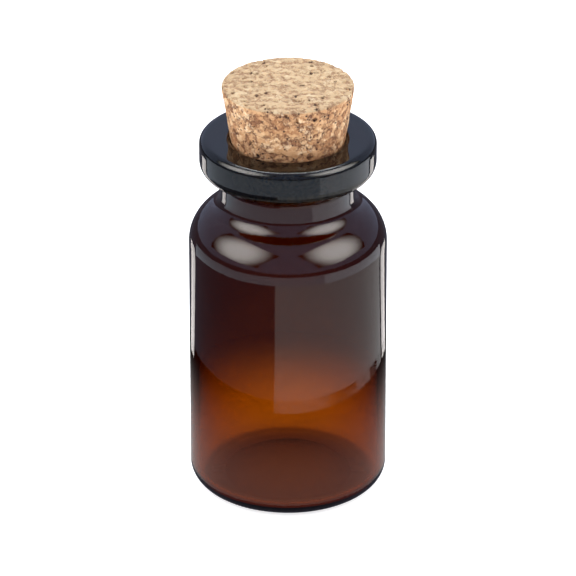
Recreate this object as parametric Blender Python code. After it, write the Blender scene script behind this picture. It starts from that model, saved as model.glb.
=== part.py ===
"""Small amber glass medicine bottle with a tapered cork stopper.

Metres, +Z up. The origin is the middle of the face the bottle stands on, and both pieces are
turned about the Z axis. The stopper's own origin is on that axis, at the mouth's plane, and
it comes out along +Z.
"""

import math

import bmesh
import bpy

MM = 0.001
SEGMENTS = 48
POLE_MERGE = 0.001 * MM

# Glass bottle, outside
BODY_RADIUS = 11.0 * MM
BOTTLE_HEIGHT = 42.1 * MM
HEEL_RADIUS = 2.2 * MM
STANDING_RING_INNER_RADIUS = 7.0 * MM
PUSH_UP_HEIGHT = 0.6 * MM
SHOULDER_START_HEIGHT = 29.5 * MM
SHOULDER_ARC_RADIUS = 4.5 * MM
NECK_RADIUS = 7.5 * MM
NECK_FILLET_RADIUS = 2.0 * MM

# Flange round the mouth
FLANGE_RADIUS = 9.8 * MM
FLANGE_THICKNESS = 4.3 * MM
FLANGE_TOP_EDGE_RADIUS = 0.8 * MM
FLANGE_LOWER_EDGE_RADIUS = 1.6 * MM
FLANGE_ROOT_RADIUS = 1.0 * MM

# Glass bottle, inside
BORE_RADIUS = 6.3 * MM
MOUTH_EDGE_RADIUS = 0.7 * MM
WALL = 1.0 * MM
THROAT_FILLET_RADIUS = 2.8 * MM
FLOOR_THICKNESS = 1.0 * MM
FLOOR_EDGE_RADIUS = 1.4 * MM

# Cork stopper
CORK_TOP_RADIUS = 7.35 * MM
CORK_MOUTH_RADIUS = 6.4 * MM
CORK_BOTTOM_RADIUS = 6.05 * MM
CORK_STANDS_PROUD = 6.3 * MM
CORK_INSERTION = 4.8 * MM
CORK_SQUEEZE_GAP = 0.05 * MM
CORK_SQUEEZE_DEPTH = 0.6 * MM
CORK_EDGE_RADIUS = 0.35 * MM

AMBER_GLASS = {"colour": (0.33, 0.11, 0.02, 1.0), "roughness": 0.04, "transmission": 1.0}
AGGLOMERATED_CORK = {"colour": (0.66, 0.46, 0.28, 1.0), "roughness": 0.9, "transmission": 0.0}


def arc(centre, radius, start_deg, end_deg, steps):
    """Points on a circle in the (distance from axis, height) plane, both ends included."""
    points = []
    for i in range(steps + 1):
        angle = math.radians(start_deg + (end_deg - start_deg) * i / steps)
        points.append((centre[0] + radius * math.cos(angle), centre[1] + radius * math.sin(angle)))
    return points


def dome(edge_radius, edge_height, rise, steps):
    """A shallow crown from the axis out to edge_radius, rise higher on the axis than there."""
    sphere_radius = (edge_radius**2 + rise**2) / (2 * rise)
    points = []
    for i in range(steps + 1):
        distance = edge_radius * i / steps
        drop = sphere_radius - math.sqrt(sphere_radius**2 - distance**2)
        points.append((distance, edge_height + rise - drop))
    return points


def reverse_curve(centre, convex_radius, fillet_radius, neck_radius):
    """A convex arc up from its widest point, then a concave one that ends on a straight neck.

    The two arcs are tangent where they meet, and the neck lies above the convex arc.
    """
    across = neck_radius + fillet_radius - centre[0]
    up = math.sqrt((convex_radius + fillet_radius) ** 2 - across**2)
    turn_deg = math.degrees(math.atan2(up, across))
    convex = arc(centre, convex_radius, 0, turn_deg, 7)
    concave = arc((neck_radius + fillet_radius, centre[1] + up), fillet_radius, 180 + turn_deg, 180, 5)
    return convex + concave[1:]


def flange_outline():
    """From the flange's root on the neck, round its outer edge, to the flat rim."""
    lower_centre = (
        FLANGE_RADIUS - FLANGE_LOWER_EDGE_RADIUS,
        BOTTLE_HEIGHT - FLANGE_THICKNESS + FLANGE_LOWER_EDGE_RADIUS,
    )
    upside_down = reverse_curve(lower_centre, FLANGE_LOWER_EDGE_RADIUS, FLANGE_ROOT_RADIUS, NECK_RADIUS)
    lower_edge = [(radius, 2 * lower_centre[1] - height) for radius, height in upside_down[::-1]]
    top_edge = arc(
        (FLANGE_RADIUS - FLANGE_TOP_EDGE_RADIUS, BOTTLE_HEIGHT - FLANGE_TOP_EDGE_RADIUS),
        FLANGE_TOP_EDGE_RADIUS, 0, 90, 4,
    )
    return lower_edge + top_edge


def bottle_outline():
    """The whole glass section, from under the base, over the mouth, to the inside floor."""
    base = dome(STANDING_RING_INNER_RADIUS, 0.0, PUSH_UP_HEIGHT, 4)
    heel = arc((BODY_RADIUS - HEEL_RADIUS, HEEL_RADIUS), HEEL_RADIUS, -90, 0, 6)
    shoulder_centre = (BODY_RADIUS - SHOULDER_ARC_RADIUS, SHOULDER_START_HEIGHT)
    shoulder = reverse_curve(shoulder_centre, SHOULDER_ARC_RADIUS, NECK_FILLET_RADIUS, NECK_RADIUS)
    mouth_edge = arc(
        (BORE_RADIUS + MOUTH_EDGE_RADIUS, BOTTLE_HEIGHT - MOUTH_EDGE_RADIUS),
        MOUTH_EDGE_RADIUS, 90, 180, 4,
    )
    throat = reverse_curve(
        shoulder_centre, SHOULDER_ARC_RADIUS - WALL, THROAT_FILLET_RADIUS, BORE_RADIUS
    )
    inner_radius = BODY_RADIUS - WALL
    floor_edge = arc(
        (inner_radius - FLOOR_EDGE_RADIUS, FLOOR_THICKNESS + FLOOR_EDGE_RADIUS),
        FLOOR_EDGE_RADIUS, 0, -90, 5,
    )
    floor = dome(inner_radius - FLOOR_EDGE_RADIUS, FLOOR_THICKNESS, PUSH_UP_HEIGHT, 3)
    return (
        base + heel + shoulder + flange_outline() + mouth_edge
        + throat[::-1] + floor_edge + floor[-2::-1]
    )


def cork_outline():
    """The stopper's section, from its lower end to its top, squeezed where the mouth grips it."""
    bottom = BOTTLE_HEIGHT - CORK_INSERTION
    top = BOTTLE_HEIGHT + CORK_STANDS_PROUD
    grip_radius = BORE_RADIUS - CORK_SQUEEZE_GAP
    lower_edge = arc(
        (CORK_BOTTOM_RADIUS - CORK_EDGE_RADIUS, bottom + CORK_EDGE_RADIUS),
        CORK_EDGE_RADIUS, -90, 0, 3,
    )
    gripped = [(grip_radius, BOTTLE_HEIGHT - CORK_SQUEEZE_DEPTH), (CORK_MOUTH_RADIUS, BOTTLE_HEIGHT)]
    upper_edge = arc(
        (CORK_TOP_RADIUS - CORK_EDGE_RADIUS, top - CORK_EDGE_RADIUS),
        CORK_EDGE_RADIUS, 0, 90, 3,
    )
    return [(0.0, bottom)] + lower_edge + gripped + upper_edge + [(0.0, top)]


def make_material(name, finish):
    """A plain Principled finish."""
    material = bpy.data.materials.new(name)
    material.use_nodes = True
    shader = material.node_tree.nodes["Principled BSDF"]
    shader.inputs["Base Color"].default_value = finish["colour"]
    shader.inputs["Roughness"].default_value = finish["roughness"]
    shader.inputs["Metallic"].default_value = 0.0
    shader.inputs["Transmission Weight"].default_value = finish["transmission"]
    return material


def turned_piece(name, outline, origin_height, material):
    """Turns an outline that starts and ends on the Z axis into one closed solid."""
    mesh = bpy.data.meshes.new(name)
    shape = bmesh.new()
    verts = [shape.verts.new((radius, 0.0, height - origin_height)) for radius, height in outline]
    edges = [shape.edges.new(pair) for pair in zip(verts, verts[1:])]
    bmesh.ops.spin(
        shape, geom=verts + edges, cent=(0, 0, 0), axis=(0, 0, 1), angle=math.tau,
        steps=SEGMENTS, use_merge=True,
    )
    bmesh.ops.remove_doubles(shape, verts=shape.verts, dist=POLE_MERGE)
    bmesh.ops.recalc_face_normals(shape, faces=shape.faces)
    shape.to_mesh(mesh)
    shape.free()
    mesh.shade_smooth()
    mesh.set_sharp_from_angle(angle=math.radians(40))
    mesh.materials.append(material)
    piece = bpy.data.objects.new(name, mesh)
    piece.location = (0.0, 0.0, origin_height)
    bpy.context.scene.collection.objects.link(piece)
    return piece


def main():
    for leftover in list(bpy.data.objects):
        bpy.data.objects.remove(leftover)
    glass = make_material("amber_glass", AMBER_GLASS)
    cork = make_material("agglomerated_cork", AGGLOMERATED_CORK)
    turned_piece("glass_bottle", bottle_outline(), 0.0, glass)
    turned_piece("cork_stopper", cork_outline(), BOTTLE_HEIGHT, cork)


main()
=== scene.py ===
"""Looks for a small amber glass medicine bottle with a pressed cork stopper.

Both pieces are turned about the Z axis. Each starts as the outline of its section, a wire in the
XZ plane. One Geometry Nodes tree turns both wires, and another gives the cork its granules.
Lengths are in metres unless a name says mm.
"""

import math

import bpy
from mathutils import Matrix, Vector


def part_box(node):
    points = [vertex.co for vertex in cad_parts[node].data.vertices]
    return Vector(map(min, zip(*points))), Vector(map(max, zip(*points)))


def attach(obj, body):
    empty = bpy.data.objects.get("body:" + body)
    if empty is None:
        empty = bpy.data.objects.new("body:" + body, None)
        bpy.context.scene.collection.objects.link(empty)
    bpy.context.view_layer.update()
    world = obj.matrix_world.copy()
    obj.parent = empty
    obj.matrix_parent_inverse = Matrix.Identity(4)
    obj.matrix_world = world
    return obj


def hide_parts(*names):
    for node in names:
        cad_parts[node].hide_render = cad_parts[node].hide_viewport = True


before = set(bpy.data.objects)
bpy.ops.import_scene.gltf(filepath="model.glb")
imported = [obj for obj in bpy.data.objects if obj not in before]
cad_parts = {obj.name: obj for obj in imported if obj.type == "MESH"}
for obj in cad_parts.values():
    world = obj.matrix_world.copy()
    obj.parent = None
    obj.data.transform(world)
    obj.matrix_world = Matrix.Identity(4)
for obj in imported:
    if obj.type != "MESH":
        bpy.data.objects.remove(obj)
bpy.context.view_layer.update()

MM = 0.001

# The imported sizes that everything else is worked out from
GLASS_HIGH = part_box("glass_bottle")[1]
CORK_LOW, CORK_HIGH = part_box("cork_stopper")
BODY_RADIUS = GLASS_HIGH.x
BOTTLE_HEIGHT = GLASS_HIGH.z
CORK_TOP_RADIUS = CORK_HIGH.x

# Glass outside
HEEL_RADIUS = 2.2 * MM
STANDING_RING_INNER_RADIUS = 7.0 * MM
PUSH_UP_HEIGHT = 0.6 * MM
SHOULDER_START_HEIGHT = 29.5 * MM
SHOULDER_ARC_RADIUS = 4.5 * MM
NECK_RADIUS = 7.5 * MM
NECK_FILLET_RADIUS = 2.0 * MM
FLANGE_RADIUS = 9.8 * MM
FLANGE_THICKNESS = 4.3 * MM
FLANGE_TOP_EDGE_RADIUS = 0.8 * MM
FLANGE_LOWER_EDGE_RADIUS = 1.6 * MM
FLANGE_ROOT_RADIUS = 1.0 * MM

# Glass inside
BORE_RADIUS = 6.3 * MM
MOUTH_EDGE_RADIUS = 0.7 * MM
WALL = 1.0 * MM
THROAT_FILLET_RADIUS = 2.8 * MM
FLOOR_THICKNESS = 1.0 * MM
FLOOR_EDGE_RADIUS = 1.4 * MM

# Cork
CORK_BOTTOM_RADIUS = 6.05 * MM
CORK_MOUTH_RADIUS = 6.4 * MM
CORK_SQUEEZE_GAP = 0.05 * MM
CORK_SQUEEZE_DEPTH = 0.6 * MM
CORK_EDGE_RADIUS = 0.35 * MM

# How fine the meshes are
GLASS_STEP = 0.45 * MM
GLASS_SEGMENTS = 192
CORK_STEP = 0.5 * MM
CORK_SEGMENTS = 96
CORK_VOXEL = 0.11 * MM
POLE_MERGE = 0.001 * MM

# The surfaces' unevenness: how deep it is, and how long or how close together
GLASS_WAVE_DEPTH = 0.06 * MM
GLASS_WAVE_LENGTH = 7.0 * MM
CORK_WAVE_DEPTH = 0.05 * MM
CORK_WAVE_LENGTH = 5.0 * MM
GRANULE_STEP = 0.06 * MM
SEAM_DEPTH = 0.09 * MM
PIT_DEPTH = 0.45 * MM
GRAIN_DEPTH = 0.08 * MM
COARSE_GRANULES_PER_MM = 1.15
FINE_GRANULES_PER_MM = 2.9
COARSE_SEAM_WIDTH_MM = 0.17
FINE_SEAM_WIDTH_MM = 0.085


# ---------------------------------------------------------------- outlines

def arc(centre, radius, start_deg, end_deg, steps):
    """Points on a circle in the (distance from axis, height) plane, both ends included."""
    points = []
    for i in range(steps + 1):
        angle = math.radians(start_deg + (end_deg - start_deg) * i / steps)
        points.append((centre[0] + radius * math.cos(angle), centre[1] + radius * math.sin(angle)))
    return points


def dome(edge_radius, edge_height, rise, steps):
    """A shallow crown from the axis out to edge_radius, rise higher on the axis than there."""
    sphere_radius = (edge_radius**2 + rise**2) / (2 * rise)
    points = []
    for i in range(steps + 1):
        distance = edge_radius * i / steps
        drop = sphere_radius - math.sqrt(sphere_radius**2 - distance**2)
        points.append((distance, edge_height + rise - drop))
    return points


def reverse_curve(centre, convex_radius, fillet_radius, neck_radius, steps):
    """A convex arc up from its widest point, then a concave one that ends on a straight neck."""
    across = neck_radius + fillet_radius - centre[0]
    up = math.sqrt((convex_radius + fillet_radius) ** 2 - across**2)
    turn_deg = math.degrees(math.atan2(up, across))
    convex = arc(centre, convex_radius, 0, turn_deg, steps)
    concave = arc(
        (neck_radius + fillet_radius, centre[1] + up), fillet_radius, 180 + turn_deg, 180, steps
    )
    return convex + concave[1:]


def flange_outline():
    """From the flange's root on the neck, round its outer edge, to the flat rim."""
    lower_centre = (
        FLANGE_RADIUS - FLANGE_LOWER_EDGE_RADIUS,
        BOTTLE_HEIGHT - FLANGE_THICKNESS + FLANGE_LOWER_EDGE_RADIUS,
    )
    upside_down = reverse_curve(
        lower_centre, FLANGE_LOWER_EDGE_RADIUS, FLANGE_ROOT_RADIUS, NECK_RADIUS, 12
    )
    lower_edge = [(radius, 2 * lower_centre[1] - height) for radius, height in upside_down[::-1]]
    top_edge = arc(
        (FLANGE_RADIUS - FLANGE_TOP_EDGE_RADIUS, BOTTLE_HEIGHT - FLANGE_TOP_EDGE_RADIUS),
        FLANGE_TOP_EDGE_RADIUS, 0, 90, 10,
    )
    return lower_edge + top_edge


def bottle_outline():
    """The whole glass section, from under the base, over the mouth, to the inside floor."""
    base = dome(STANDING_RING_INNER_RADIUS, 0.0, PUSH_UP_HEIGHT, 12)
    heel = arc((BODY_RADIUS - HEEL_RADIUS, HEEL_RADIUS), HEEL_RADIUS, -90, 0, 16)
    shoulder_centre = (BODY_RADIUS - SHOULDER_ARC_RADIUS, SHOULDER_START_HEIGHT)
    shoulder = reverse_curve(
        shoulder_centre, SHOULDER_ARC_RADIUS, NECK_FILLET_RADIUS, NECK_RADIUS, 16
    )
    mouth_edge = arc(
        (BORE_RADIUS + MOUTH_EDGE_RADIUS, BOTTLE_HEIGHT - MOUTH_EDGE_RADIUS),
        MOUTH_EDGE_RADIUS, 90, 180, 10,
    )
    throat = reverse_curve(
        shoulder_centre, SHOULDER_ARC_RADIUS - WALL, THROAT_FILLET_RADIUS, BORE_RADIUS, 16
    )
    inner_radius = BODY_RADIUS - WALL
    floor_edge = arc(
        (inner_radius - FLOOR_EDGE_RADIUS, FLOOR_THICKNESS + FLOOR_EDGE_RADIUS),
        FLOOR_EDGE_RADIUS, 0, -90, 16,
    )
    floor = dome(inner_radius - FLOOR_EDGE_RADIUS, FLOOR_THICKNESS, PUSH_UP_HEIGHT, 12)
    return (
        base + heel + shoulder + flange_outline() + mouth_edge
        + throat[::-1] + floor_edge + floor[-2::-1]
    )


def cork_outline():
    """The stopper's section, from its lower end to its top, pressed in where the mouth grips it."""
    lower_edge = arc(
        (CORK_BOTTOM_RADIUS - CORK_EDGE_RADIUS, CORK_LOW.z + CORK_EDGE_RADIUS),
        CORK_EDGE_RADIUS, -90, 0, 3,
    )
    grip_radius = BORE_RADIUS - CORK_SQUEEZE_GAP
    gripped = [
        (grip_radius, BOTTLE_HEIGHT - CORK_SQUEEZE_DEPTH),
        (CORK_MOUTH_RADIUS, BOTTLE_HEIGHT),
    ]
    upper_edge = arc(
        (CORK_TOP_RADIUS - CORK_EDGE_RADIUS, CORK_HIGH.z - CORK_EDGE_RADIUS),
        CORK_EDGE_RADIUS, 0, 90, 3,
    )
    return [(0.0, CORK_LOW.z)] + lower_edge + gripped + upper_edge + [(0.0, CORK_HIGH.z)]


def spaced(outline, longest):
    """The outline with extra points, so that no step is longer than longest."""
    points = [outline[0]]
    for a, b in zip(outline, outline[1:]):
        steps = max(1, math.ceil(math.dist(a, b) / longest))
        for i in range(1, steps + 1):
            points.append((a[0] + (b[0] - a[0]) * i / steps, a[1] + (b[1] - a[1]) * i / steps))
    return points


def wire(name, outline):
    """An object with the outline as a chain of edges."""
    mesh = bpy.data.meshes.new(name)
    mesh.from_pydata(
        [(radius, 0.0, height) for radius, height in outline],
        [(i, i + 1) for i in range(len(outline) - 1)],
        [],
    )
    piece = bpy.data.objects.new(name, mesh)
    bpy.context.scene.collection.objects.link(piece)
    return piece


# ---------------------------------------------------------------- node helpers

def wired(tree, kind, links=None, **settings):
    """A node of that kind, with its settings, and its inputs linked or set by name or number."""
    node = tree.nodes.new(kind)
    for key, value in settings.items():
        setattr(node, key, value)
    for key, value in (links or {}).items():
        socket = node.inputs[key]
        if isinstance(value, bpy.types.NodeSocket):
            tree.links.new(value, socket)
        else:
            socket.default_value = value
    return node


def calc(tree, operation, *values):
    """A Math node's result."""
    return wired(tree, "ShaderNodeMath", dict(enumerate(values)), operation=operation).outputs[0]


def vector_calc(tree, operation, *values):
    """A Vector Math node's vector result."""
    node = wired(tree, "ShaderNodeVectorMath", dict(enumerate(values)), operation=operation)
    return node.outputs["Vector"]


def scaled(tree, vector, amount):
    """A vector times a number."""
    node = wired(tree, "ShaderNodeVectorMath", {0: vector, "Scale": amount}, operation="SCALE")
    return node.outputs["Vector"]


def ramp(tree, factor, *stops):
    """A colour ramp's colour at factor, with (position, colour) stops."""
    node = wired(tree, "ShaderNodeValToRGB", {0: factor})
    elements = node.color_ramp.elements
    while len(elements) < len(stops):
        elements.new(1.0)
    for element, (position, colour) in zip(elements, stops):
        element.position = position
        element.color = (*colour, 1.0)
    return node.outputs["Color"]


def remap(tree, value, low, high, to_low, to_high):
    """value carried smoothly from low..high to to_low..to_high, and held at the ends."""
    node = wired(
        tree, "ShaderNodeMapRange",
        {"Value": value, "From Min": low, "From Max": high, "To Min": to_low, "To Max": to_high},
        interpolation_type="SMOOTHSTEP",
    )
    return node.outputs["Result"]


def new_tree(name, inputs):
    """A Geometry Nodes tree with a Geometry input and output, and the named inputs."""
    tree = bpy.data.node_groups.new(name, "GeometryNodeTree")
    tree.interface.new_socket("Geometry", in_out="INPUT", socket_type="NodeSocketGeometry")
    tree.interface.new_socket("Geometry", in_out="OUTPUT", socket_type="NodeSocketGeometry")
    for label, kind in inputs.items():
        tree.interface.new_socket(label, in_out="INPUT", socket_type="NodeSocket" + kind)
    return tree, tree.nodes.new("NodeGroupInput").outputs


def with_tree(piece, tree, values):
    """Puts the tree on the piece, its inputs set by the sockets' identifiers."""
    modifier = piece.modifiers.new(tree.name, "NODES")
    modifier.node_group = tree
    identifiers = {
        item.name: item.identifier
        for item in tree.interface.items_tree
        if item.in_out == "INPUT"
    }
    for label, value in values.items():
        modifier[identifiers[label]] = value


def frozen(piece):
    """The piece with its modifiers' result as its own plain mesh, and no modifiers."""
    depsgraph = bpy.context.evaluated_depsgraph_get()
    result = bpy.data.meshes.new_from_object(piece.evaluated_get(depsgraph), depsgraph=depsgraph)
    piece.modifiers.clear()
    old = piece.data
    piece.data = result
    result.name = piece.name
    bpy.data.meshes.remove(old)
    return piece


# ---------------------------------------------------------------- shapes

def turning_tree():
    """Turns a wire in the XZ plane about the Z axis, with the slight waves of a drawn tube."""
    tree, given = new_tree(
        "turned_wall",
        {"Segments": "Int", "Wave Depth": "Float", "Wave Length": "Float", "Material": "Material"},
    )
    outline = given["Geometry"]
    points = wired(tree, "GeometryNodeAttributeDomainSize", {0: outline}, component="MESH")
    columns = calc(tree, "ADD", given["Segments"], 1.0)
    grid = wired(
        tree, "GeometryNodeMeshGrid",
        {"Vertices X": points.outputs["Point Count"], "Vertices Y": columns},
    )
    index = wired(tree, "GeometryNodeInputIndex").outputs[0]
    row = calc(tree, "FLOOR", calc(tree, "DIVIDE", calc(tree, "ADD", index, 0.5), columns))
    column = calc(tree, "SUBTRACT", index, calc(tree, "MULTIPLY", row, columns))
    angle = calc(tree, "DIVIDE", calc(tree, "MULTIPLY", column, math.tau), given["Segments"])
    sample = wired(
        tree, "GeometryNodeSampleIndex",
        {
            "Geometry": outline,
            "Value": wired(tree, "GeometryNodeInputPosition").outputs[0],
            "Index": row,
        },
        data_type="FLOAT_VECTOR", domain="POINT",
    )
    turned = wired(
        tree, "ShaderNodeVectorRotate",
        {"Vector": sample.outputs["Value"], "Angle": angle},
        rotation_type="Z_AXIS",
    ).outputs[0]
    across = vector_calc(tree, "MULTIPLY", turned, (1.0, 1.0, 0.0))
    outwards = vector_calc(tree, "NORMALIZE", across)
    long_waves = vector_calc(tree, "MULTIPLY", turned, (1.0, 1.0, 0.3))
    waves = wired(
        tree, "ShaderNodeTexNoise",
        {
            "Vector": scaled(tree, long_waves, calc(tree, "DIVIDE", 1.0, given["Wave Length"])),
            "Scale": 1.0, "Detail": 1.0, "Roughness": 0.4,
        },
    ).outputs["Fac"]
    inwards = calc(tree, "MULTIPLY", calc(tree, "SUBTRACT", waves, 1.0), given["Wave Depth"])
    placed = wired(
        tree, "GeometryNodeSetPosition",
        {
            "Geometry": grid.outputs["Mesh"],
            "Position": vector_calc(tree, "ADD", turned, scaled(tree, outwards, inwards)),
        },
    )
    closed = wired(
        tree, "GeometryNodeMergeByDistance",
        {"Geometry": placed.outputs[0], "Distance": POLE_MERGE},
    )
    outward = wired(tree, "GeometryNodeFlipFaces", {"Mesh": closed.outputs[0]})
    smooth = wired(tree, "GeometryNodeSetShadeSmooth", {"Geometry": outward.outputs[0]})
    realized = wired(tree, "GeometryNodeRealizeInstances", {0: smooth.outputs[0]})
    painted = wired(
        tree, "GeometryNodeSetMaterial",
        {"Geometry": realized.outputs[0], "Material": given["Material"]},
    )
    wired(tree, "NodeGroupOutput", {"Geometry": painted.outputs[0]})
    return tree


def cork_pattern(tree, position_mm):
    """The pressed granules at a place in the cork: the same nodes shape it and colour it.

    Returns each granule's random tone, how open the gap between two granules is, and how much
    of a pit there is, each 0 to 1.
    """
    wander = wired(
        tree, "ShaderNodeTexNoise", {"Vector": position_mm, "Scale": 1.6, "Detail": 3.0}
    ).outputs["Color"]
    bend = scaled(tree, vector_calc(tree, "SUBTRACT", wander, (0.5,) * 3), 1.1)
    bent = vector_calc(tree, "ADD", position_mm, bend)
    tones, gaps = [], []
    for per_mm, share, seam_width, seam_strength in (
        (COARSE_GRANULES_PER_MM, 0.6, COARSE_SEAM_WIDTH_MM, 1.0),
        (FINE_GRANULES_PER_MM, 0.4, FINE_SEAM_WIDTH_MM, 0.7),
    ):
        cells = wired(tree, "ShaderNodeTexVoronoi", {"Vector": bent, "Scale": per_mm}, feature="F1")
        chance = wired(tree, "ShaderNodeSeparateXYZ", {0: cells.outputs["Color"]}).outputs["X"]
        tones.append(calc(tree, "MULTIPLY", chance, share))
        seams = wired(
            tree, "ShaderNodeTexVoronoi", {"Vector": bent, "Scale": per_mm}, feature="DISTANCE_TO_EDGE"
        )
        edge_mm = calc(tree, "DIVIDE", seams.outputs["Distance"], per_mm)
        open_seam = remap(tree, edge_mm, 0.0, seam_width, 1.0, 0.0)
        gaps.append(calc(tree, "MULTIPLY", open_seam, seam_strength))
    tone = calc(tree, "ADD", *tones)
    openness = wired(
        tree, "ShaderNodeTexNoise", {"Vector": position_mm, "Scale": 1.3, "Detail": 2.0}
    ).outputs["Fac"]
    gap = calc(
        tree, "MULTIPLY", calc(tree, "MAXIMUM", *gaps), remap(tree, openness, 0.43, 0.56, 0.10, 1.0)
    )
    holes = wired(tree, "ShaderNodeTexVoronoi", {"Vector": bent, "Scale": 1.0}, feature="F1")
    chance = wired(tree, "ShaderNodeSeparateXYZ", {0: holes.outputs["Color"]}).outputs["Y"]
    hollow = remap(tree, holes.outputs["Distance"], 0.12, 0.34, 1.0, 0.0)
    pit = calc(tree, "MULTIPLY", hollow, remap(tree, chance, 0.60, 0.66, 0.0, 1.0))
    return tone, gap, pit


def granule_tree():
    """Gives a smooth cork its granules, the seams between them, and pits."""
    tree, given = new_tree(
        "pressed_granules",
        {
            "Granule Step": "Float", "Seam Depth": "Float", "Pit Depth": "Float",
            "Material": "Material",
        },
    )
    position_mm = scaled(tree, wired(tree, "GeometryNodeInputPosition").outputs[0], 1.0 / MM)
    tone, gap, pit = cork_pattern(tree, position_mm)
    stepped = calc(tree, "MULTIPLY", calc(tree, "SUBTRACT", tone, 1.0), given["Granule Step"])
    seam = calc(tree, "MULTIPLY", gap, given["Seam Depth"])
    fine = wired(
        tree, "ShaderNodeTexNoise", {"Vector": position_mm, "Scale": 3.2, "Detail": 3.0}
    ).outputs["Fac"]
    grain = calc(tree, "MULTIPLY", calc(tree, "SUBTRACT", fine, 0.7), GRAIN_DEPTH)
    height = calc(tree, "ADD", calc(tree, "SUBTRACT", stepped, seam), grain)
    height = calc(tree, "SUBTRACT", height, calc(tree, "MULTIPLY", pit, given["Pit Depth"]))
    normal = wired(tree, "GeometryNodeInputNormal").outputs[0]
    placed = wired(
        tree, "GeometryNodeSetPosition",
        {"Geometry": given["Geometry"], "Offset": scaled(tree, normal, height)},
    )
    smooth = wired(tree, "GeometryNodeSetShadeSmooth", {"Geometry": placed.outputs[0]})
    realized = wired(tree, "GeometryNodeRealizeInstances", {0: smooth.outputs[0]})
    painted = wired(
        tree, "GeometryNodeSetMaterial",
        {"Geometry": realized.outputs[0], "Material": given["Material"]},
    )
    wired(tree, "NodeGroupOutput", {"Geometry": painted.outputs[0]})
    return tree


def make_glass(turning, material):
    """The vial, turned from its outline."""
    piece = wire("amber_vial", spaced(bottle_outline(), GLASS_STEP))
    with_tree(piece, turning, {
        "Segments": GLASS_SEGMENTS,
        "Wave Depth": GLASS_WAVE_DEPTH,
        "Wave Length": GLASS_WAVE_LENGTH,
        "Material": material,
    })
    return frozen(piece)


def make_cork(turning, material):
    """The stopper, turned from its outline, meshed evenly, then given its granules."""
    piece = wire("pressed_cork", spaced(cork_outline(), CORK_STEP))
    with_tree(piece, turning, {
        "Segments": CORK_SEGMENTS,
        "Wave Depth": CORK_WAVE_DEPTH,
        "Wave Length": CORK_WAVE_LENGTH,
        "Material": material,
    })
    even = piece.modifiers.new("even_faces", "REMESH")
    even.mode = "VOXEL"
    even.voxel_size = CORK_VOXEL
    with_tree(piece, granule_tree(), {
        "Granule Step": GRANULE_STEP,
        "Seam Depth": SEAM_DEPTH,
        "Pit Depth": PIT_DEPTH,
        "Material": material,
    })
    return frozen(piece)


# ---------------------------------------------------------------- finishes

GLASS_IOR = 1.51
GLASS_TINT = (0.780, 0.585, 0.0, 1.0)
GLASS_DENSITY_PER_METRE = 4100.0
GLASS_BUMP_DEPTH = 0.02 * MM
DRAWN_STREAKS_PER_METRE = (1400.0, 1400.0, 60.0)
FORMING_RINGS_PER_METRE = (90.0, 90.0, 1700.0)
FORMING_ONSET = 1.5 * MM
HANDLING_PER_METRE = 160.0

CORK_TONES = (
    (0.10, (0.27, 0.11, 0.04)),
    (0.28, (0.42, 0.21, 0.085)),
    (0.5, (0.52, 0.29, 0.13)),
    (0.72, (0.61, 0.38, 0.19)),
    (0.92, (0.74, 0.54, 0.33)),
)
# Painted shade: a brown that darkens the cork near the mouth
MOUTH_SHADE_BROWN = (0.33, 0.14, 0.05, 1.0)
# The top's colour: real sanding, and a painted sheen that pales it
SANDED_SHEEN_TAN = (0.275, 0.235, 0.144, 1.0)
STAIN_BROWN = (0.45, 0.24, 0.10, 1.0)
SEAM_BROWN = (0.12, 0.04, 0.014, 1.0)
BARK_BLACK = (0.035, 0.014, 0.007, 1.0)
CORK_BUMP_DEPTH = 0.06 * MM

# The painted shade's ends from the mouth up, and the ends of the top's sanding and painted sheen from
# the top down
MOUTH_SHADE_FROM_MM = -0.5
MOUTH_SHADE_TO_MM = 2.6
MOUTH_SHADE_SHARE = 0.55
SANDED_SHEEN_FULL_MM = 0.18
SANDED_SHEEN_END_MM = 0.42
SANDED_SHEEN_SHARE = 0.68


def new_finish(name):
    """A new material, with its tree, its shader and its output."""
    material = bpy.data.materials.new(name)
    material.use_nodes = True
    tree = material.node_tree
    return material, tree, tree.nodes["Principled BSDF"], tree.nodes["Material Output"]


def object_place(tree):
    """The place on the piece, in its own coordinates."""
    return wired(tree, "ShaderNodeTexCoord").outputs["Object"]


def height_of(tree, place):
    """How high a place is."""
    return wired(tree, "ShaderNodeSeparateXYZ", {0: place}).outputs["Z"]


def mixed(tree, factor, a, b):
    """Colour a going over to colour b by factor."""
    node = wired(tree, "ShaderNodeMix", data_type="RGBA")
    sockets = [socket for socket in node.inputs if socket.type == "RGBA"]
    for socket, value in zip([node.inputs[0]] + sockets, (factor, a, b)):
        if isinstance(value, bpy.types.NodeSocket):
            tree.links.new(value, socket)
        else:
            socket.default_value = value
    return [socket for socket in node.outputs if socket.type == "RGBA"][0]


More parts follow.
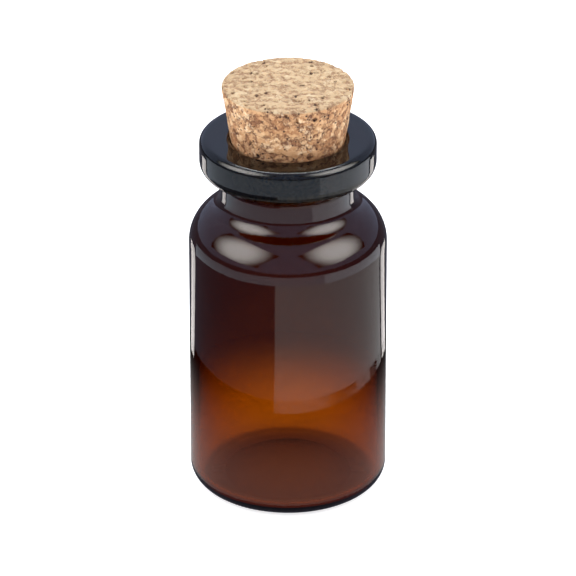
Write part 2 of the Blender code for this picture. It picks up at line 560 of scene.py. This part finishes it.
def amber_glass():
    """Clear glass whose body takes up blue and green light, so that thick parts go nearly black.

    It has a drawn tube's faint upright streaks, faint rings where the shoulder and neck were
    formed, and a polish that is a little duller in patches.
    """
    material, tree, shader, output = new_finish("amber_glass")
    shader.inputs["Base Color"].default_value = (1.0, 1.0, 1.0, 1.0)
    shader.inputs["Transmission Weight"].default_value = 1.0
    shader.inputs["IOR"].default_value = GLASS_IOR
    here = object_place(tree)
    drawn = wired(
        tree, "ShaderNodeTexNoise",
        {
            "Vector": vector_calc(tree, "MULTIPLY", here, DRAWN_STREAKS_PER_METRE),
            "Scale": 1.0, "Detail": 2.0,
        },
    ).outputs["Fac"]
    streaks = wired(
        tree, "ShaderNodeBump", {"Strength": 0.04, "Distance": GLASS_BUMP_DEPTH, "Height": drawn}
    )
    formed = wired(
        tree, "ShaderNodeTexNoise",
        {
            "Vector": vector_calc(tree, "MULTIPLY", here, FORMING_RINGS_PER_METRE),
            "Scale": 1.0, "Detail": 1.0,
        },
    ).outputs["Fac"]
    height = height_of(tree, here)
    worked = calc(
        tree, "MULTIPLY",
        remap(tree, height, SHOULDER_START_HEIGHT, SHOULDER_START_HEIGHT + FORMING_ONSET, 0.0, 1.0),
        remap(tree, height, BOTTLE_HEIGHT - FLANGE_THICKNESS, BOTTLE_HEIGHT, 1.0, 0.2),
    )
    rings = wired(
        tree, "ShaderNodeBump",
        {
            "Strength": 0.5, "Distance": GLASS_BUMP_DEPTH, "Normal": streaks.outputs[0],
            "Height": calc(tree, "MULTIPLY", formed, worked),
        },
    )
    tree.links.new(rings.outputs[0], shader.inputs["Normal"])
    handled = wired(
        tree, "ShaderNodeTexNoise",
        {"Vector": scaled(tree, here, HANDLING_PER_METRE), "Scale": 1.0, "Detail": 3.0},
    ).outputs["Fac"]
    tree.links.new(remap(tree, handled, 0.45, 0.8, 0.015, 0.06), shader.inputs["Roughness"])
    body = wired(
        tree, "ShaderNodeVolumeAbsorption", {"Color": GLASS_TINT, "Density": GLASS_DENSITY_PER_METRE}
    )
    tree.links.new(body.outputs[0], output.inputs["Volume"])
    return material


def pressed_cork():
    """Tan granules of slightly different tones, dark gaps between some, and flecks of bark.

    Painted shade makes it browner near the mouth. Its top is smoothed by sanding and paled by a
    painted sheen, so it is paler and more even.
    """
    material, tree, shader, _ = new_finish("pressed_cork")
    here_mm = scaled(tree, object_place(tree), 1.0 / MM)
    tone, gap, pit = cork_pattern(tree, here_mm)
    granule = ramp(tree, tone, *CORK_TONES)
    height_mm = height_of(tree, here_mm)
    mouth_mm = BOTTLE_HEIGHT / MM
    top_mm = CORK_HIGH.z / MM
    # Painted shade near the mouth, in brown
    painted_mouth_shade = remap(
        tree, height_mm, mouth_mm + MOUTH_SHADE_FROM_MM, mouth_mm + MOUTH_SHADE_TO_MM, MOUTH_SHADE_SHARE, 0.0
    )
    granule = mixed(tree, painted_mouth_shade, granule, MOUTH_SHADE_BROWN)
    # The top: real sanding, and a painted sheen that pales it
    sanded_and_sheen = remap(tree, height_mm, top_mm - SANDED_SHEEN_END_MM, top_mm - SANDED_SHEEN_FULL_MM, 0.0, 1.0)
    granule = mixed(tree, calc(tree, "MULTIPLY", sanded_and_sheen, SANDED_SHEEN_SHARE), granule, SANDED_SHEEN_TAN)
    cells = wired(tree, "ShaderNodeTexNoise", {"Vector": here_mm, "Scale": 5.0, "Detail": 4.0})
    stain = remap(tree, cells.outputs["Fac"], 0.48, 0.72, 0.0, 0.5)
    mottled = mixed(tree, stain, granule, STAIN_BROWN)
    flecks = wired(tree, "ShaderNodeTexVoronoi", {"Vector": here_mm, "Scale": 2.2}, feature="F1")
    chance = wired(tree, "ShaderNodeSeparateXYZ", {0: flecks.outputs["Color"]}).outputs["Z"]
    bark = calc(
        tree, "MULTIPLY",
        remap(tree, flecks.outputs["Distance"], 0.15, 0.34, 1.0, 0.0),
        remap(tree, chance, 0.68, 0.76, 0.0, 1.0),
    )
    dark = calc(tree, "MAXIMUM", calc(tree, "MAXIMUM", gap, bark), pit)
    strength = calc(tree, "SUBTRACT", 0.95, calc(tree, "MULTIPLY", sanded_and_sheen, 0.2))
    shaded = mixed(tree, calc(tree, "MULTIPLY", dark, strength), mottled, SEAM_BROWN)
    shaded = mixed(tree, calc(tree, "MAXIMUM", pit, bark), shaded, BARK_BLACK)
    tree.links.new(shaded, shader.inputs["Base Color"])
    grain = wired(
        tree, "ShaderNodeTexNoise", {"Vector": here_mm, "Scale": 9.0, "Detail": 3.0}
    ).outputs["Fac"]
    relief = calc(tree, "SUBTRACT", calc(tree, "MULTIPLY", grain, 0.6), gap)
    rough = wired(
        tree, "ShaderNodeBump", {"Strength": 0.7, "Distance": CORK_BUMP_DEPTH, "Height": relief}
    )
    tree.links.new(rough.outputs[0], shader.inputs["Normal"])
    tree.links.new(remap(tree, grain, 0.3, 0.7, 0.75, 0.95), shader.inputs["Roughness"])
    return material


# ---------------------------------------------------------------- stage, light and camera

FLOOR_RADIUS = 1.4
FLOOR_RIM = 0.15
FLOOR_GREY = (0.64, 0.64, 0.64, 1.0)
FLOOR_GLOW = 0.70
RING_TURNS = 96
CARD_STEPS = 48
CARD_HEIGHT = 0.5 * MM
SURROUND_RADIUS = 16 * MM
SURROUND_HEIGHT = 46 * MM
SURROUND_FADE = 10 * MM
SURROUND_BROWN = (0.15, 0.06, 0.035, 1.0)
TARGET = Vector((0.0, 0.0, 23.4 * MM))
CAMERA_ELEVATION_DEG = 27.0
CAMERA_DISTANCE = 600 * MM
CAMERA_SENSOR_MM = 36.0
VIEW_HEIGHT = 64 * MM
LIGHT_BOUNCES = 24

ROOM_BELOW = (0.10, 0.10, 0.13)
ROOM_ABOVE = (0.40, 0.46, 0.64)
WHITE = (1.0, 1.0, 1.0)
WARM_WHITE = (1.0, 0.97, 0.93)
ROSY_WHITE = (1.0, 0.95, 0.93)
COOL_WHITE = (0.88, 0.92, 1.0)
SKY_WHITE = (0.92, 0.96, 1.0)
PALE_BLUE = (0.78, 0.87, 1.0)

# Name, (azimuth, elevation, distance), width, height, radiance, colour, radiance in reflections.
# Azimuth 0 is in front, at -Y, and 90 is at +X.
SOFT_BOXES = (
    ("right_box", (68, 38, 0.45), 0.62, 0.42, 2.6, WARM_WHITE, 6.6),
    ("left_box", (-68, 38, 0.45), 0.62, 0.42, 2.6, WARM_WHITE, 6.6),
    ("back_box", (180, 68, 0.50), 0.50, 0.22, 8.5, SKY_WHITE, 9.5),
)

# A box's reflection fades between these distances from its middle, as shares of its width
BOX_CORE = 0.1
BOX_EDGE = 0.55

# Name, near and far radius in mm, from and to azimuth, radiance, colour, whether it fades
BOUNCE_CARDS = (
    ("near_card", 12, 38, -180, 180, 0.55, WHITE, True),
    ("front_card", 35, 68, -14, 124, 0.85, WHITE, False),
    ("far_left_card", 68, 170, -124, 40, 0.9, PALE_BLUE, False),
    ("far_right_card", 68, 170, 40, 124, 1.5, COOL_WHITE, False),
    ("left_side_card", 35, 90, -128, -142, 2.2, ROSY_WHITE, False),
    ("right_side_card", 35, 90, 128, 142, 2.2, ROSY_WHITE, False),
)


def pale_floor():
    """Plain pale grey with a little light of its own."""
    material, _, shader, _ = new_finish("pale_floor")
    shader.inputs["Base Color"].default_value = FLOOR_GREY
    shader.inputs["Roughness"].default_value = 0.6
    shader.inputs["Emission Color"].default_value = (*WHITE, 1.0)
    shader.inputs["Emission Strength"].default_value = FLOOR_GLOW
    return material


def glowing(name, radiance, colour, fades_from=None, fades_to=None):
    """A finish that only gives light, and that can fade between two distances from its middle."""
    material, tree, _, output = new_finish(name)
    strength = radiance
    if fades_to:
        distance = wired(
            tree, "ShaderNodeVectorMath", {0: object_place(tree)}, operation="LENGTH"
        ).outputs["Value"]
        strength = remap(tree, distance, fades_from, fades_to, radiance, 0.0)
    glow = wired(tree, "ShaderNodeEmission", {"Color": (*colour, 1.0), "Strength": strength})
    tree.links.new(glow.outputs[0], output.inputs["Surface"])
    return material


def fading_brown(name):
    """A dull brown glow that is clear at its foot and full at SURROUND_FADE."""
    material, tree, _, output = new_finish(name)
    glow = wired(tree, "ShaderNodeEmission", {"Color": SURROUND_BROWN, "Strength": 1.0})
    clear = wired(tree, "ShaderNodeBsdfTransparent")
    fullness = remap(tree, height_of(tree, object_place(tree)), 0.0, SURROUND_FADE, 0.0, 1.0)
    fading = wired(
        tree, "ShaderNodeMixShader", {0: fullness, 1: clear.outputs[0], 2: glow.outputs[0]}
    )
    tree.links.new(fading.outputs[0], output.inputs["Surface"])
    return material


def stage_mesh(name, verts, faces, material):
    """A mesh with the one material, linked into the scene."""
    mesh = bpy.data.meshes.new(name)
    mesh.from_pydata(verts, [], faces)
    mesh.materials.append(material)
    piece = bpy.data.objects.new(name, mesh)
    bpy.context.scene.collection.objects.link(piece)
    return piece


def hidden_from(piece, *kinds):
    """Hides a stage piece from the kinds of ray named: camera, diffuse, glossy and so on."""
    for kind in kinds:
        setattr(piece, "visible_" + kind, False)


def make_floor():
    """A pale round floor that turns up at its edge."""
    outline = arc((FLOOR_RADIUS - FLOOR_RIM, FLOOR_RIM), FLOOR_RIM, -90, 0, 12)
    verts, faces = [(0.0, 0.0, 0.0)], []
    for row, (radius, height) in enumerate(outline):
        for i in range(RING_TURNS):
            angle = math.tau * i / RING_TURNS
            verts.append((radius * math.cos(angle), radius * math.sin(angle), height))
            here = row * RING_TURNS + i + 1
            along = row * RING_TURNS + (i + 1) % RING_TURNS + 1
            if row == 0:
                faces.append((0, here, along))
            else:
                faces.append((here - RING_TURNS, here, along, along - RING_TURNS))
    floor = stage_mesh("floor", verts, faces, pale_floor())
    floor.data.shade_smooth()
    hidden_from(floor, "glossy")


def soft_box(name, place, width, height, radiance, colour, shine):
    """A rectangular area light that faces the target, and the card that shows in its reflections."""
    azimuth_deg, elevation_deg, distance = place
    azimuth, elevation = math.radians(azimuth_deg), math.radians(elevation_deg)
    away = Vector((
        math.sin(azimuth) * math.cos(elevation),
        -math.cos(azimuth) * math.cos(elevation),
        math.sin(elevation),
    ))
    lamp = bpy.data.lights.new(name, "AREA")
    lamp.shape = "RECTANGLE"
    lamp.size = width
    lamp.size_y = height
    lamp.energy = radiance * math.pi * width * height
    lamp.color = colour
    box = bpy.data.objects.new(name, lamp)
    bpy.context.scene.collection.objects.link(box)
    hidden_from(box, "glossy")
    corners = [(x * width / 2, y * height / 2, 0.0) for x, y in ((-1, -1), (1, -1), (1, 1), (-1, 1))]
    finish = glowing(name, shine, colour, BOX_CORE * width, BOX_EDGE * width)
    card = stage_mesh(name + "_card", corners, [(0, 1, 2, 3)], finish)
    hidden_from(card, "camera", "diffuse", "transmission", "shadow")
    for piece in (box, card):
        piece.location = TARGET + away * distance
        piece.rotation_euler = away.to_track_quat("Z", "Y").to_euler()


def bounce_card(name, near_mm, far_mm, start_deg, end_deg, radiance, colour, fades):
    """A low card round the bottle that only shows in reflections, as a sector of a ring.

    One that fades has no light left at its far edge.
    """
    near, far = near_mm * MM, far_mm * MM
    rim = []
    for i in range(CARD_STEPS + 1):
        azimuth = math.radians(start_deg + (end_deg - start_deg) * i / CARD_STEPS)
        rim.append((math.sin(azimuth), -math.cos(azimuth)))
    verts = [(x * radius, y * radius, CARD_HEIGHT) for radius in (near, far) for x, y in rim]
    faces = [(i, i + CARD_STEPS + 1, i + CARD_STEPS + 2, i + 1) for i in range(CARD_STEPS)]
    finish = glowing(name, radiance, colour, near, far) if fades else glowing(name, radiance, colour)
    card = stage_mesh(name, verts, faces, finish)
    hidden_from(card, "camera", "diffuse", "transmission", "shadow")


def brown_surround():
    """A dark round wall close to the bottle, clear at its foot, that only shows through the glass."""
    verts, faces = [], []
    for i in range(RING_TURNS):
        angle = math.tau * i / RING_TURNS
        x, y = SURROUND_RADIUS * math.cos(angle), SURROUND_RADIUS * math.sin(angle)
        verts.extend([(x, y, CARD_HEIGHT), (x, y, SURROUND_HEIGHT)])
        here, along = 2 * i, 2 * ((i + 1) % RING_TURNS)
        faces.append((here, here + 1, along + 1, along))
    wall = stage_mesh("brown_surround", verts, faces, fading_brown("brown_surround"))
    hidden_from(wall, "camera", "diffuse", "glossy", "shadow")


def light_the_room():
    """Cool light from above the horizon, and a dim room below it for the glass to reflect."""
    world = bpy.data.worlds.new("studio")
    bpy.context.scene.world = world
    world.use_nodes = True
    tree = world.node_tree
    direction = wired(tree, "ShaderNodeTexCoord").outputs["Generated"]
    room = ramp(tree, height_of(tree, direction), (0.0, ROOM_BELOW), (0.02, ROOM_ABOVE))
    tree.links.new(room, tree.nodes["Background"].inputs["Color"])


def light_the_stage():
    light_the_room()
    for box in SOFT_BOXES:
        soft_box(*box)
    brown_surround()
    for card in BOUNCE_CARDS:
        bounce_card(*card)


def set_camera():
    camera_data = bpy.data.cameras.new("camera")
    camera = bpy.data.objects.new("camera", camera_data)
    elevation = math.radians(CAMERA_ELEVATION_DEG)
    away = Vector((0.0, -math.cos(elevation), math.sin(elevation)))
    camera.location = TARGET + away * CAMERA_DISTANCE
    camera.rotation_euler = away.to_track_quat("Z", "Y").to_euler()
    camera_data.sensor_width = CAMERA_SENSOR_MM
    camera_data.lens = CAMERA_SENSOR_MM * CAMERA_DISTANCE / VIEW_HEIGHT
    camera_data.clip_start = 0.01
    camera_data.clip_end = 10.0
    bpy.context.scene.collection.objects.link(camera)
    bpy.context.scene.camera = camera


def main():
    turning = turning_tree()
    glass = make_glass(turning, amber_glass())
    cork = make_cork(turning, pressed_cork())
    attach(glass, "bottle")
    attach(cork, "stopper")
    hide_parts("glass_bottle")
    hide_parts("cork_stopper")
    make_floor()
    light_the_stage()
    set_camera()
    bpy.context.scene.view_settings.view_transform = "Standard"
    bpy.context.scene.cycles.max_bounces = LIGHT_BOUNCES
    bpy.context.scene.cycles.transmission_bounces = LIGHT_BOUNCES


main()
